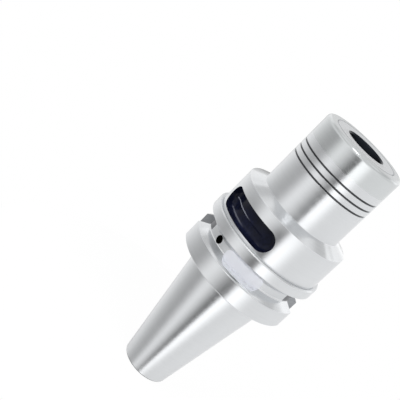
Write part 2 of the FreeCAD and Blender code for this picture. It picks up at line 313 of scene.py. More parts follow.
def wire(tree, node, links):
    """Links a node's inputs, each as (input, output socket)."""
    for key, socket in dict(links).items():
        tree.links.new(socket, node.inputs[key])


def add(tree, kind, links=(), inputs=(), **settings):
    """Adds a node, sets it and links its inputs."""
    node = tree.nodes.new(kind)
    for key, value in settings.items():
        setattr(node, key, value)
    for key, value in dict(inputs).items():
        node.inputs[key].default_value = value
    wire(tree, node, links)
    return node


def set_ramp(ramp, levels):
    """Fills a colour ramp with grey levels at places from 0 to 1."""
    while len(ramp.elements) < len(levels):
        ramp.elements.new(0.5)
    for element, (at, level) in zip(ramp.elements, levels):
        element.position = at
        element.color = (level, level, level, 1)


def seen_share(tree):
    """Is 1 for what the eye, a mirror or glass sees, and 0 for the light that falls on the rest."""
    path = add(tree, "ShaderNodeLightPath")
    seen = add(tree, "ShaderNodeMath", {0: path.outputs["Is Camera Ray"], 1: path.outputs["Is Glossy Ray"]},
               operation="MAXIMUM")
    return add(tree, "ShaderNodeMath", {0: seen.outputs["Value"], 1: path.outputs["Is Transmission Ray"]},
               operation="MAXIMUM").outputs["Value"]


def tool_marks(tree, spacing, centre=(0, 0, 0), turned=(0, 0, 0)):
    """Marks in rings round a piece's own axis: they change along it and outwards, hardly round it."""
    place = add(tree, "ShaderNodeTexCoord")
    centred = add(tree, "ShaderNodeMapping", {"Vector": place.outputs["Object"]},
                  {"Location": centre, "Rotation": turned}, vector_type="TEXTURE")
    split = add(tree, "ShaderNodeSeparateXYZ", {"Vector": centred.outputs["Vector"]})
    across = add(tree, "ShaderNodeCombineXYZ", {"X": split.outputs["X"], "Y": split.outputs["Y"]})
    radius = add(tree, "ShaderNodeVectorMath", {0: across.outputs["Vector"]}, operation="LENGTH")
    rings = add(tree, "ShaderNodeCombineXYZ", {"X": radius.outputs["Value"], "Y": split.outputs["Z"]})
    drift = add(tree, "ShaderNodeVectorMath", {0: across.outputs["Vector"]}, {1: (0.03, 0.03, 0.0)},
                operation="MULTIPLY")
    both = add(tree, "ShaderNodeVectorMath", {0: rings.outputs["Vector"], 1: drift.outputs["Vector"]},
               operation="ADD")
    marks = add(tree, "ShaderNodeTexNoise", {"Vector": both.outputs["Vector"]},
                {"Scale": 1 / spacing, "Detail": 3.0, "Roughness": 0.6})
    return split, marks


def shade(rgba, share):
    """A colour made darker or lighter by a share, still with its alpha."""
    return [channel * share for channel in rgba[:3]] + [1.0]


def ground_steel():
    """Case-hardened steel, cylindrically ground: bright, its reflections drawn out along the axis."""
    shades, sizes = bpy.context.scene.chuck_colours, bpy.context.scene.chuck_sizes
    finer_from, finer_to = 78.8 * MM, 79.6 * MM
    material, tree, shader = blank_material("ground case-hardened steel")
    # Real grinding lines are some hundredths of a millimetre apart and would not show, so these are coarser
    split, lines = tool_marks(tree, sizes.line_spacing)
    # Above its grooves the nose is ground finer: a little greyer, with crisper reflections
    front = add(tree, "ShaderNodeMapRange", {"Value": split.outputs["Z"]},
                {"From Min": finer_from, "From Max": finer_to})
    tint = add(tree, "ShaderNodeMix", {0: front.outputs["Result"]}, {6: shades.ground, 7: shades.front},
               data_type="RGBA")
    cloud = add(tree, "ShaderNodeMapRange", {"Value": lines.outputs["Fac"]},
                {"From Min": 0.3, "From Max": 0.7, "To Min": 0.97, "To Max": 1.0})
    clouded = add(tree, "ShaderNodeVectorMath", {0: tint.outputs[2], "Scale": cloud.outputs["Result"]},
                  operation="SCALE")
    finer = add(tree, "ShaderNodeMath", {0: front.outputs["Result"]}, {1: -0.06}, operation="MULTIPLY")
    grain = add(tree, "ShaderNodeMapRange", {"Value": lines.outputs["Fac"]},
                {"From Min": 0.3, "From Max": 0.7, "To Min": 0.28, "To Max": 0.33})
    rough = add(tree, "ShaderNodeMath", {0: grain.outputs["Result"], 1: finer.outputs["Value"]},
                operation="ADD")
    bump = add(tree, "ShaderNodeBump", {"Height": lines.outputs["Fac"]},
               {"Strength": 0.12, "Distance": MARK_DEPTH})
    tangent = add(tree, "ShaderNodeTangent", direction_type="RADIAL", axis="Z")
    shader.inputs["Metallic"].default_value = 1.0
    shader.inputs["Anisotropic"].default_value = 0.7
    shader.inputs["Anisotropic Rotation"].default_value = 0.25
    wire(tree, shader, {"Base Color": clouded.outputs["Vector"], "Roughness": rough.outputs["Value"],
                        "Normal": bump.outputs["Normal"], "Tangent": tangent.outputs["Tangent"]})
    return material


def machined_steel(name, base_colour, roughness, spacing, contrast=0.12, strength=0.2, **axis):
    """Steel as a cutter or an oxide bath leaves it: colour and gloss vary a little from mark to mark."""
    material, tree, shader = blank_material(name)
    marks = tool_marks(tree, spacing, **axis)[1]
    height = add(tree, "ShaderNodeMapRange", {"Value": marks.outputs["Fac"]},
                 {"From Min": 0.3, "From Max": 0.7})
    tint = add(tree, "ShaderNodeMix", {0: height.outputs["Result"]},
               {6: shade(base_colour, 1 - contrast), 7: shade(base_colour, 1.0)}, data_type="RGBA")
    rough = add(tree, "ShaderNodeMapRange", {"Value": height.outputs["Result"]},
                {"To Min": roughness - 0.04, "To Max": roughness + 0.04})
    bump = add(tree, "ShaderNodeBump", {"Height": marks.outputs["Fac"]},
               {"Strength": strength, "Distance": MARK_DEPTH})
    shader.inputs["Metallic"].default_value = 1.0
    wire(tree, shader, {"Base Color": tint.outputs[2], "Roughness": rough.outputs["Result"],
                        "Normal": bump.outputs["Normal"]})
    return material


def black_enamel():
    """Stove enamel over a milled floor: near black with a blue cast, with painted highlights on its crests.
    """
    shades = bpy.context.scene.chuck_colours
    crest_from, crest_to = 28.5, 34.5
    crest_levels = ((28.8, 0.0), (29.2, 0.3), (29.6, 0.0), (33.05, 0.0), (33.4, 1.0), (33.75, 0.0))
    fade_from, fade_to = -12.5 * MM, -18.5 * MM
    floor_from, floor_to = 26.4 * MM, 25.8 * MM
    material, tree, shader = blank_material("black stove enamel")
    place = add(tree, "ShaderNodeTexCoord")
    centred = add(tree, "ShaderNodeMapping", {"Vector": place.outputs["Object"]})
    split = add(tree, "ShaderNodeSeparateXYZ", {"Vector": centred.outputs["Vector"]})
    # Orange peel, and broad clouds where the coat is thicker or thinner
    peel = add(tree, "ShaderNodeTexNoise", {"Vector": centred.outputs["Vector"]},
               {"Scale": 900.0, "Detail": 2.0})
    cloud = add(tree, "ShaderNodeTexNoise", {"Vector": centred.outputs["Vector"]},
                {"Scale": 90.0, "Detail": 1.0})
    mottle = add(tree, "ShaderNodeMath", {0: peel.outputs["Fac"], 1: cloud.outputs["Fac"]},
                 operation="MULTIPLY")
    tint = add(tree, "ShaderNodeMix", {0: mottle.outputs["Value"]},
               {6: shade(shades.enamel, 0.4), 7: shade(shades.enamel, 4.5)}, data_type="RGBA")
    # The two lines of painted highlight, by their height above the gauge plane, fade out from the recess's
    # left end
    height = add(tree, "ShaderNodeMapRange", {"Value": split.outputs["Z"]},
                 {"From Min": crest_from * MM, "From Max": crest_to * MM})
    crests = add(tree, "ShaderNodeValToRGB", {"Fac": height.outputs["Result"]})
    set_ramp(crests.color_ramp, [((at - crest_from) / (crest_to - crest_from), level)
                                 for at, level in crest_levels])
    along = add(tree, "ShaderNodeMapRange", {"Value": split.outputs["X"]},
                {"From Min": fade_from, "From Max": fade_to},
                interpolation_type="SMOOTHSTEP")
    # They lie on the recess's floor and not on its walls
    across = add(tree, "ShaderNodeCombineXYZ", {"X": split.outputs["X"], "Y": split.outputs["Y"]})
    radius = add(tree, "ShaderNodeVectorMath", {0: across.outputs["Vector"]}, operation="LENGTH")
    on_floor = add(tree, "ShaderNodeMapRange", {"Value": radius.outputs["Value"]},
                   {"From Min": floor_from, "From Max": floor_to})
    left_floor = add(tree, "ShaderNodeMath", {0: along.outputs["Result"], 1: on_floor.outputs["Result"]},
                     operation="MULTIPLY")
    # Painted highlight: where this mask is 1 the enamel turns pale, standing for the gloss's reflection
    painted_crest_highlight = add(tree, "ShaderNodeMath", {0: crests.outputs["Color"], 1: left_floor.outputs["Value"]},
                 operation="MULTIPLY")
    enamel_and_highlight = add(tree, "ShaderNodeMix", {0: painted_crest_highlight.outputs["Value"], 6: tint.outputs[2]}, {7: shades.painted_crest_highlight},
               data_type="RGBA")
    bump = add(tree, "ShaderNodeBump", {"Height": peel.outputs["Fac"]},
               {"Strength": 0.3, "Distance": 0.05 * MM})
    shader.inputs["Roughness"].default_value = 0.22
    shader.inputs["IOR"].default_value = 1.5
    shader.inputs["Specular IOR Level"].default_value = 0.13
    wire(tree, shader, {"Base Color": enamel_and_highlight.outputs[2], "Normal": bump.outputs["Normal"]})
    return material


def moulded(name, base_colour, roughness, ior, grain):
    """Moulded rubber or plastic: even, with the fine matt grain of its mould."""
    material, tree, shader = blank_material(name)
    place = add(tree, "ShaderNodeTexCoord")
    centred = add(tree, "ShaderNodeMapping", {"Vector": place.outputs["Object"]})
    pores = add(tree, "ShaderNodeTexNoise", {"Vector": centred.outputs["Vector"]},
                {"Scale": 1 / grain, "Detail": 3.0})
    tint = add(tree, "ShaderNodeMix", {0: pores.outputs["Fac"]},
               {6: shade(base_colour, 0.8), 7: shade(base_colour, 1.1)}, data_type="RGBA")
    bump = add(tree, "ShaderNodeBump", {"Height": pores.outputs["Fac"]},
               {"Strength": 0.25, "Distance": 0.03 * MM})
    shader.inputs["Roughness"].default_value = roughness
    shader.inputs["IOR"].default_value = ior
    wire(tree, shader, {"Base Color": tint.outputs[2], "Normal": bump.outputs["Normal"]})
    return material


def outline_of_holder(sizes):
    """The holder's whole turned outline, outside first and then the bores, in millimetres."""
    e = sizes.edge_break / MM
    relief = BODY_RADIUS - sizes.relief_depth / MM
    joint = sizes.joint_chamfer / MM
    low, top, rim = SMALL_END, NOSE_TOP, FLANGE_RADIUS
    shank = [(9.0, low), (11.6, low), (11.95, low + 0.05), (12.35, low + 0.25), (12.62, low + 0.5),
             (12.80, low + 0.8), (GAUGE_RADIUS, 0), (GAUGE_RADIUS, FLANGE_REAR)]
    # Fillet between the groove's lower flank, at 30 degrees, and its floor
    fillet, fillet_height = 1.2, 15.1794
    corner = [(GROOVE_FLOOR + fillet + r, fillet_height + z) for r, z in arc(fillet, range(240, 179, -10))]
    mouth, far_mouth = GROOVE_HEIGHT - GROOVE_HALF_MOUTH, GROOVE_HEIGHT + GROOVE_HALF_MOUTH
    flange = [(rim - 0.5, FLANGE_REAR), (rim, FLANGE_REAR + 0.5), (rim, mouth - e), (rim - e, mouth)]
    flange += corner + [(r, 2 * GROOVE_HEIGHT - z) for r, z in reversed(corner)]
    flange += [(rim - e, far_mouth), (rim, far_mouth + e), (rim, FLANGE_FRONT - 0.5),
               (rim - 0.5, FLANGE_FRONT), (relief, FLANGE_FRONT), (relief, FLANGE_FRONT + 0.6),
               (BODY_RADIUS, FLANGE_FRONT + 0.6)]
    # Both ends of the shoulder's cone are a little rounded
    body = [(BODY_RADIUS, BODY_FRONT - 0.15), (BODY_RADIUS - 0.05, BODY_FRONT - 0.02),
            (BODY_RADIUS - 0.2, BODY_FRONT + 0.09), (NOSE_RADIUS + 0.25, SHOULDER_FRONT - 0.35),
            (NOSE_RADIUS + 0.05, SHOULDER_FRONT - 0.2), (NOSE_RADIUS, SHOULDER_FRONT)]
    nose, ring_floor = [], 22.0
    for middle in RING_GROOVES:
        edge = [(NOSE_RADIUS, 0.5), (NOSE_RADIUS - 0.06, 0.44), (ring_floor, 0.4)]
        nose += [(r, middle - half) for r, half in edge]
        nose += [(r, middle + half) for r, half in reversed(edge)]
    rounding = 1.9
    nose += [(NOSE_RADIUS - rounding + r, top - rounding + z) for r, z in arc(rounding, range(0, 91, 9))]
    chamfer = 0.5
    inside = [(SEAT_RADIUS + joint, top), (SEAT_RADIUS, top - joint), (SEAT_RADIUS, top - SEAT_DEPTH),
              (BORE_SEAT, top - SEAT_DEPTH), (BORE_SEAT, SLEEVE_REAR), (BORES[0][0] + chamfer, SLEEVE_REAR)]
    mouth_height = SLEEVE_REAR - chamfer
    for radius, end in BORES:
        inside += [(radius, mouth_height), (radius, end)]
        mouth_height = end
    return shank + flange + body + nose + inside


def thread_rod(name, radius, depth, pitch, low, high):
    """Rod along Z with a right-hand thread, cut square at both ends, in millimetres."""
    root = radius - depth
    # An uneven start keeps the thread's corners off the planes that cut its ends
    begin = low - 1.137 * pitch
    profile = ((root, 0.0), (root, 0.2), (radius, 0.525), (radius, 0.675), (root, 1.0))
    rod = draw_line(name, [(r, 0, begin + share * pitch) for r, share in profile], False)
    bpy.ops.object.mode_set(mode="OBJECT")
    ridge = rod.modifiers.new("ridge", "SCREW")
    ridge.axis = "Z"
    ridge.screw_offset = pitch * MM
    ridge.iterations = math.ceil((high - low) / pitch) + 3
    ridge.steps = 40
    ridge.render_steps = 40
    activate(rod)
    bpy.ops.object.modifier_apply(modifier="ridge")
    bpy.ops.object.mode_set(mode="EDIT")
    bpy.ops.mesh.select_all(action="SELECT")
    bpy.ops.mesh.remove_doubles(threshold=0.001 * MM)
    bpy.ops.mesh.bisect(plane_co=(0, 0, low * MM), plane_no=(0, 0, 1), use_fill=True, clear_inner=True,
                        threshold=1e-9)
    bpy.ops.mesh.select_all(action="SELECT")
    bpy.ops.mesh.bisect(plane_co=(0, 0, high * MM), plane_no=(0, 0, 1), use_fill=True, clear_outer=True,
                        threshold=1e-9)
    bpy.ops.mesh.select_all(action="SELECT")
    bpy.ops.mesh.normals_make_consistent(inside=False)
    bpy.ops.object.mode_set(mode="OBJECT")
    return rod


def drive_slot_cutter():
    """Block of the drive slot on the right, with its rounded upper corners."""
    cutter = block("slot cutter", (SLOT_FLOOR, -SLOT_HALF_WIDTH, 1.0), (40, SLOT_HALF_WIDTH, SLOT_TOP))
    return round_edges(cutter, lambda m, d: abs(d.x) > 0.9 and m.z > SLOT_TOP - 1.2, SLOT_CORNER, 16)


def flat_cutter():
    """Round-ended block that leaves the rear flat in the groove floor."""
    half_length, low, high = 11.2, 12.35, 19.35
    cutter = block("flat cutter", (-half_length, FLAT_FLOOR, low), (half_length, 40, high))
    return round_edges(cutter, lambda m, d: abs(d.y) > 0.9, (high - low) / 2 - 0.01, 24)


def compass(azimuth):
    """Horizontal direction at an azimuth in degrees, from -Y towards +X."""
    return Vector((math.sin(math.radians(azimuth)), -math.cos(math.radians(azimuth)), 0))


def recess_cutters():
    """The arc-shaped recess: its run round the body, and its two round ends."""
    half, floor, fillet, middle, reach = 5.7, 24.75, 2.6, 34.1, 36
    corner = [(floor + fillet - r, half - fillet + z) for r, z in arc(fillet, range(0, 91, 9))]
    # Two passes of the mill meet in a low ridge along the floor
    ridge_height, ridge_middle = 0.13, middle - 0.7
    ridge = [(floor + ridge_height * (1 + math.cos(math.pi * dz / 4)), ridge_middle + dz / 10)
             for dz in range(-4, 5)]
    upper = [(r, middle + z) for r, z in corner] + [(reach, middle + half)]
    lower = [(r, middle - z) for r, z in reversed(corner)]
    section = upper + [(reach, middle - half)] + lower + ridge
    # The run overlaps its ends by a hair, because exactly coinciding faces can spoil the cut
    overlap, ends = 0.23, (-62.0, -6.8)
    cutters = [turn("recess cutter", section, 56, closed=True, angle=ends[1] - ends[0] + 2 * overlap,
                    begin=ends[0] - overlap)]
    profile = [(0, floor)] + [(z, r) for r, z in corner] + [(half, reach), (0, reach)]
    for azimuth in ends:
        cutters.append(set_down(turn("recess end cutter", profile, 96), (0, 0, middle), compass(azimuth)))
    return cutters


def cross_bore_cutter():
    """The clamping cylinder and the bleed bore across the body, as one stepped rod along X."""
    bleed_mouth, bleed_thread, oil_passage = 3.7, 3.0, 1.25
    piston_bore, clamp_thread, clamp_mouth = 4, 5, 5.7
    outline = [(0, -40), (bleed_mouth, -40), (bleed_mouth, -19.4), (bleed_thread + 0.3, -19.4),
               (bleed_thread, -19.1), (bleed_thread, -13), (oil_passage, -13), (oil_passage, -10.5),
               (piston_bore, -10.5), (piston_bore, 4.5), (clamp_thread, 4.5), (clamp_thread, 19.6),
               (clamp_thread + 0.4, 20), (clamp_mouth, 20), (clamp_mouth, 40), (0, 40)]
    return set_down(turn("cross bore cutter", outline, 96), CYLINDER, (1, 0, 0))


class CHUCK_OT_holder(Operator):
    """Turn the holder, cut its slots, flats, recess and bores, and give each face its finish"""

    bl_idname = "chuck.turn_holder"
    bl_label = "Holder"

    def execute(self, context):
        sizes, shades = context.scene.chuck_sizes, context.scene.chuck_colours
        ground = ground_steel()
        # Milled walls: greyer than the ground faces, with the end mill's marks
        milled = machined_steel("milled case-hardened steel", shades.milled, roughness=0.38,
                                spacing=0.5 * MM)
        # The groove floor beside the drive slots is coloured darker than the ground part, as painted shade
        slot_side_shade = machined_steel("case-hardened steel with painted shade", shades.slot_side_shade, roughness=0.36,
                                spacing=0.4 * MM)
        # Flats cut by a sharp mill: pale, even and matt
        flat = machined_steel("fine-milled case-hardened steel", shades.flat, roughness=0.8,
                              spacing=0.4 * MM, contrast=0.02, strength=0.03)
        # Bores are coloured nearly black, as painted shade for their depth
        bore_shade = machined_steel("hardened steel bore with painted shade", shades.bore, roughness=0.3, spacing=0.3 * MM)
        # Groove floors stay as turned, a little duller than the ground nose; their dark colour is painted
        # shade
        ring_groove_shade = machined_steel("turned case-hardened steel", shades.groove, roughness=0.35,
                                  spacing=0.3 * MM)
        # Cones ground with the wheel's edge: smoother, so the ceiling shows crisply in them
        cones = machined_steel("finely ground case-hardened steel", shades.ground, roughness=0.17,
                               spacing=0.8 * MM, contrast=0.04, strength=0.1)
        # The groove's floor stays as finely turned: as bright as the ground faces, but without their bands
        turned = machined_steel("finely turned case-hardened steel", shades.ground, roughness=0.5,
                                spacing=0.3 * MM, contrast=0.06, strength=0.15)
        enamel = black_enamel()
        holder = turn("holder", outline_of_holder(sizes), sizes.facets, closed=True)
        holder.data.materials.append(ground)
        paint_faces(holder, cones, lambda c, n: from_axis(c) > NOSE_RADIUS + 0.1 and 0.25 < n.z < 0.98
                    and 11.7 < c.z < 49)
        for cutter in recess_cutters():
            carve(holder, cutter, enamel)
        for azimuth in (180, 0):
            carve(holder, swing(drive_slot_cutter(), azimuth), milled)
            carve(holder, swing(flat_cutter(), azimuth), flat)
        # The balancing holes end in the drill's point
        hole_radius, hole_floor = 2.1, 15.5
        drilled = [(0, hole_floor - hole_radius * 0.6), (hole_radius, hole_floor), (hole_radius, 30),
                   (0, 30)]
        # Painted shade: the balancing holes take the dark bore colour
        for azimuth in BALANCE_AZIMUTHS.values():
            hole = turn("balance hole cutter", drilled, 64)
            carve(holder, set_down(hole, (0, 0, GROOVE_HEIGHT), compass(azimuth)), bore_shade)
        pitch = sizes.stud_pitch / MM
        carve(holder, thread_rod("stud thread cutter", radius=7.95, depth=1.05, pitch=pitch, low=-59.0,
                                 high=-31.0), bore_shade)
        carve(holder, cross_bore_cutter(), bore_shade)
        # Painted shade: the bores inside the holder take the dark bore colour
        paint_faces(holder, bore_shade, lambda c, n: from_axis(c) < 17 and -65 < c.z < 86)

        def on_groove_floor(c):
            return abs(from_axis(c) - GROOVE_FLOOR + 0.05) < 0.15

        paint_faces(holder, turned, lambda c, n: on_groove_floor(c) and abs(n.z) < 0.2
                    and 14.5 < c.z < 18.7)
        # Painted shade: the groove floor's ends beside the slots take the darker colour
        paint_faces(holder, slot_side_shade, lambda c, n: on_groove_floor(c) and abs(c.x) > 22.9
                    and 14.8 < c.z < 18.4)
        # Painted shade: only the ring grooves' floors take the dark colour; their walls stay ground
        paint_faces(holder, ring_groove_shade, lambda c, n: from_axis(c) < 22.3 and 67 < c.z < 76 and abs(n.z) < 0.3)
        paint_faces(holder, milled, lambda c, n: from_axis(c) < 17.7 and c.z > 89 and n.z < 0.9)
        smooth(holder)
        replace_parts(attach(holder, "holder"), "holder_body")
        if not holder.data.polygons:
            raise RuntimeError("the holder came out empty")
        return {"FINISHED"}


class CHUCK_OT_sleeve(Operator):
    """Turn the expansion sleeve with its two oil chambers, its mouth chamfer and its joint edge"""

    bl_idname = "chuck.turn_sleeve"
    bl_label = "Expansion sleeve"

    def execute(self, context):
        sizes, shades = context.scene.chuck_sizes, context.scene.chuck_colours
        joint = sizes.joint_chamfer / MM
        top, rear = NOSE_TOP, SLEEVE_REAR
        # The face is ground together with the nose's
        face = machined_steel("ground sleeve steel", shades.ground, roughness=0.3, spacing=0.8 * MM,
                              contrast=0.04, strength=0.1)
        bore_shade = bpy.data.materials["hardened steel bore with painted shade"]
        bore, outer, membrane, flange = 10.0, 13.8, 12.2, 17.3
        outline = [(bore, rear + 0.5), (bore + 0.5, rear), (outer, rear)]
        # The two oil chambers lie outside thin membranes
        for begin in (rear + 7.5, rear + 27.5):
            end = begin + 13
            outline += [(outer, begin), (membrane, begin), (membrane, end), (outer, end)]
        outline += [(outer, top - SEAT_DEPTH), (flange, top - SEAT_DEPTH), (flange, top - joint),
                    (flange - joint, top), (bore + 0.8, top), (bore + 0.7, top - 0.05),
                    (bore + 0.05, top - 0.7), (bore, top - 0.85)]
        sleeve = turn("sleeve", outline, sizes.facets, closed=True)
        sleeve.data.materials.append(face)
        for azimuth in (45, 225):
            link = block("link cutter", (13.0, -1.5, rear + 20.5), (16, 1.5, rear + 27.5))
            carve(sleeve, swing(link, azimuth), bore_shade)
        # Painted shade: the sleeve's bore and most of its mouth chamfer take the dark bore colour
        paint_faces(sleeve, bore_shade, lambda c, n: from_axis(c) < bore + 0.72)
        paint_faces(sleeve, bpy.data.materials["milled case-hardened steel"],
                    lambda c, n: from_axis(c) > flange - 0.35 and c.z > top - 0.9 and n.z < 0.9)
        smooth(sleeve)
        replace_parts(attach(sleeve, "holder"), "expansion_sleeve")
        return {"FINISHED"}


def socket_cutter(flats, depth, top):
    """Broached hexagon socket below a height: hexagon, drill point and the chamfer at its mouth."""
    start()
    corner = flats / math.sqrt(3)
    bpy.ops.mesh.primitive_cylinder_add(vertices=6, radius=corner * MM, depth=(depth + 1) * MM,
                                        location=(0, 0, (top + 1 - (depth + 1) / 2) * MM))
    cutter = name_piece(bpy.context.object, "socket cutter")
    bpy.ops.object.transform_apply(location=True, rotation=True, scale=True)
    inside = flats / 2 * 0.96
    # The cones start a little round from the hexagon's corners, because coinciding edges can spoil the cut
    point = turn("socket point", [(0, top - depth - inside * 0.3), (inside, top - depth + 0.01),
                                  (inside, top - 1.0), (0, top - 1.0)], 48, begin=3.1)
    mouth = turn("socket mouth", [(0, top - corner * 0.9), (corner * 0.5, top - corner * 0.5 - 0.15),
                                  (corner + 0.1, top + 0.05), (corner + 0.1, top + 0.5), (0, top + 0.5)],
                 48, begin=3.1)
    return combine(combine(cutter, point, "UNION"), mouth, "UNION")


def threaded_screw(name, oxide, tail, radius, depth, pitch, length, flats, socket_depth, chamfer=0.5):
    """Socket screw from its top at 0 down: thread, a turned tail below it, and the key's socket."""
    screw = thread_rod(name, radius, depth, pitch, -length + 0.02, -0.001)
    clear = radius + 0.02
    envelope = turn("thread envelope", [(0, -length), (radius - chamfer, -length),
                                        (clear, -length + chamfer), (clear, -chamfer),
                                        (radius - chamfer, 0), (0, 0)], 72)
    combine(screw, envelope, "INTERSECT")
    combine(screw, turn("screw tail", tail, 72), "UNION")
    carve(screw, socket_cutter(flats, socket_depth, 0), oxide)
    return screw


class CHUCK_OT_screws(Operator):
    """Make the socket screws with their threads, points and sockets"""

    bl_idname = "chuck.turn_screws"
    bl_label = "Screws"

    def execute(self, context):
        shades, pitch = context.scene.chuck_colours, context.scene.chuck_sizes.fine_pitch / MM
        # Black oxide: a thin dark skin that keeps the steel's gloss; its marks run round a screw's own axis
        oxide = machined_steel("black oxide screw steel", shades.oxide, roughness=0.4, spacing=0.5 * MM)
        cross_oxide = machined_steel("black oxide screw steel, cross screws", shades.oxide, roughness=0.4,
                                     spacing=0.5 * MM, **ACROSS)
        stop = threaded_screw("stop_screw", oxide,
                              [(0, -35), (5.8, -35), (6.3, -34.5), (6.3, -32.8), (5.4, -32.8), (5.4, -30.8),
                               (6.3, -30.8), (6.3, -18.6), (7.3, -17.9), (0, -17.9)],
                              radius=7.95, depth=0.6, pitch=pitch, length=18, flats=8, socket_depth=6)
        set_down(carve(stop, turn("coolant cutter", [(0, -36), (2.3, -36), (2.3, 1), (0, 1)], 48), oxide),
                 (0, 0, SLEEVE_REAR), (0, 0, 1))
        clamp = threaded_screw("clamp_screw", cross_oxide,
                               [(0, -11), (2.6, -11), (3.0, -10.6), (3.0, -9.0), (4.3, -8.9), (0, -8.9)],
                               radius=4.95, depth=0.6, pitch=pitch, length=9, flats=5, socket_depth=4.5)
        set_down(clamp, CYLINDER + Vector((19.5, 0, 0)), (1, 0, 0))
        bleed = threaded_screw("oil_screw", cross_oxide,
                               [(0, -6.0), (0.6, -6.0), (2.5, -4.1), (2.5, -3.6), (0, -3.6)],
                               radius=2.95, depth=0.5, pitch=0.8, length=3.65, flats=3, socket_depth=2.5,
                               chamfer=0.4)
        set_down(bleed, CYLINDER + Vector((-19.0, 0, 0)), (-1, 0, 0))
        self.finish(stop, "length_adjusting_screw", "adjusting_screw", oxide)
        self.finish(clamp, "clamping_screw", "clamping_screw", cross_oxide)
        self.finish(bleed, "bleed_screw", "holder", cross_oxide)
        for node, azimuth in BALANCE_AZIMUTHS.items():
            screw = threaded_screw(node.replace("balancing", "balance"), oxide,
                                   [(0, -5), (1.2, -5), (1.6, -4.6), (1.6, -4.5), (0, -4.5)],
                                   radius=2.06, depth=0.4, pitch=0.7, length=5, flats=2, socket_depth=2,
                                   chamfer=0.3)
            set_down(screw, compass(azimuth) * 22.5 + Vector((0, 0, GROOVE_HEIGHT)), compass(azimuth))
            self.finish(screw, node, "holder", oxide)
        return {"FINISHED"}

    def finish(self, screw, node, body, oxide):
        """Gives a screw its finish, its body and the place of its CAD node."""
        if not screw.data.polygons:
            raise RuntimeError(f"{screw.name} came out empty")
        screw.data.materials.clear()
        screw.data.materials.append(oxide)
        smooth(screw)
        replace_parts(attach(screw, body), node)


class CHUCK_OT_seals(Operator):
    """Mould the O-ring, and finish the piston and its seals, which stay as the CAD model has them"""

    bl_idname = "chuck.finish_seals"
    bl_label = "Piston and seals"

    def execute(self, context):
        shades = context.scene.chuck_colours
        finishes = {
            # Ground and polished so that it slides: the brightest of the inner pieces
            "pressure_piston": machined_steel("ground piston steel", shades.ground, roughness=0.22,
                                              spacing=0.3 * MM, **ACROSS),
            # Waxy white with a dull sheen
            "piston_backup_ring": moulded("sintered fluoroplastic", shades.plastic, roughness=0.5, ior=1.38,
                                           grain=0.2 * MM),
            # Matt black, hardly any gloss
            "piston_seal": moulded("nitrile rubber", shades.rubber, roughness=0.6, ior=1.52,
                                    grain=0.15 * MM),
        }
        for name, finish in finishes.items():
            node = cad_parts[name]
            node.data.materials.clear()
            node.data.materials.append(finish)
        self.mould_ring(finishes["piston_seal"])
        return {"FINISHED"}

    def mould_ring(self, rubber):
        """Round O-ring in the stop screw's groove, with the thin flash line of its mould."""
        low, high = (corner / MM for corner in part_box("adjusting_screw_o_ring"))
        section = (high.z - low.z) / 2
        middle, ring = (high.z + low.z) / 2, high.x - section
        circle = [(ring + r, middle + z) for r, z in arc(section * 0.985, range(8, 360, 8))]
        # The flash line stands out a little at the widest and the narrowest place
        outline = [(ring + section, middle)] + circle[:22] + [(ring - section, middle)] + circle[22:]
        o_ring = turn("screw_o_ring", outline, 120, closed=True)
        o_ring.data.materials.append(rubber)
        smooth(o_ring, 60)
        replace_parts(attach(o_ring, "adjusting_seal"), "adjusting_screw_o_ring")


# The walls that the steel mirrors, as (azimuth in degrees from the camera's side towards +X, level).
# The lower one has a soft dark middle with a bright window at its right and a broad grey panel at its left.
LOWER_LEVELS = ((-180, 0.6), (-172, 0.5), (-160, 0.85), (-150, 1.0), (-130, 0.93), (-115, 0.8),
                (-104, 0.68), (-93, 0.58), (-82, 0.5), (-72, 0.45), (-64, 0.46), (-57, 0.58), (-50, 0.8),
                (-42, 1.03), (-35, 1.08), (-28, 0.97), (-20, 0.8), (-12, 0.58), (-5, 0.34), (2, 0.12),
                (10, 0.05), (12.6, 0.08), (13, 1.7), (26, 1.62), (34, 1.42), (42, 1.08), (50, 0.91),
                (100, 0.97), (150, 0.91), (165, 1.2), (172, 0.9), (180, 0.6))
# The rings above it, as the nose's face, its rounded edge and the cones show them
UPPER_LEVELS = ((-180, 0.81), (-173, 0.81), (-166, 1.06), (-152, 1.06), (-140, 0.98), (-120, 0.9),
                (-80, 0.84), (-60, 1.0), (60, 1.0), (80, 0.84), (120, 0.9), (135, 1.28), (155, 1.05),
                (166, 1.06), (173, 0.81), (180, 0.81))
HIGH_LEVELS = ((-180, 0.95), (-150, 0.95), (-144, 1.1), (-137, 1.25), (-128, 0.9), (-60, 0.95), (60, 0.95),
               (128, 0.9), (137, 1.38), (142, 1.25), (147, 0.8), (180, 0.8))
TOP_LEVELS = ((-180, 0.67), (180, 0.67))
# Each ring of wall: name, lower and upper edge in millimetres, levels
WALLS = (("lower", -1600, 120, LOWER_LEVELS), ("upper", 120, 330, UPPER_LEVELS),
         ("high", 330, 485, HIGH_LEVELS), ("top", 485, 700, TOP_LEVELS))
# The ceiling, as (distance from the middle in metres, level), and a skylight in its front, which the
# shoulder shows by way of the nose
CEILING_HEIGHT = 0.7
CEILING_LEVELS = ((0, 0.72), (0.2, 0.85), (0.33, 1.04), (0.42, 0.90), (0.5, 0.74), (0.56, 0.62))
SKYLIGHT_LEVELS = ((0, 4.8), (0.56, 4.8))
SKYLIGHT_BOX = ((-192, -540, 694), (-30, -305, 696))
# The brightest level that the walls' grades can hold
GRADE_TOP = 5.0
# The floor's radius, and its distance below the shank's small end
FLOOR_RADIUS, FLOOR_GAP = 0.11, 0.0002
# The lamps: name, azimuth in degrees, height and size in metres, share of the lamp power
LAMPS = (("key", 28, 0.45, 0.35, 1.0), ("fill", -60, 0.35, 0.4, 0.5))
LAMP_DISTANCE = 0.5
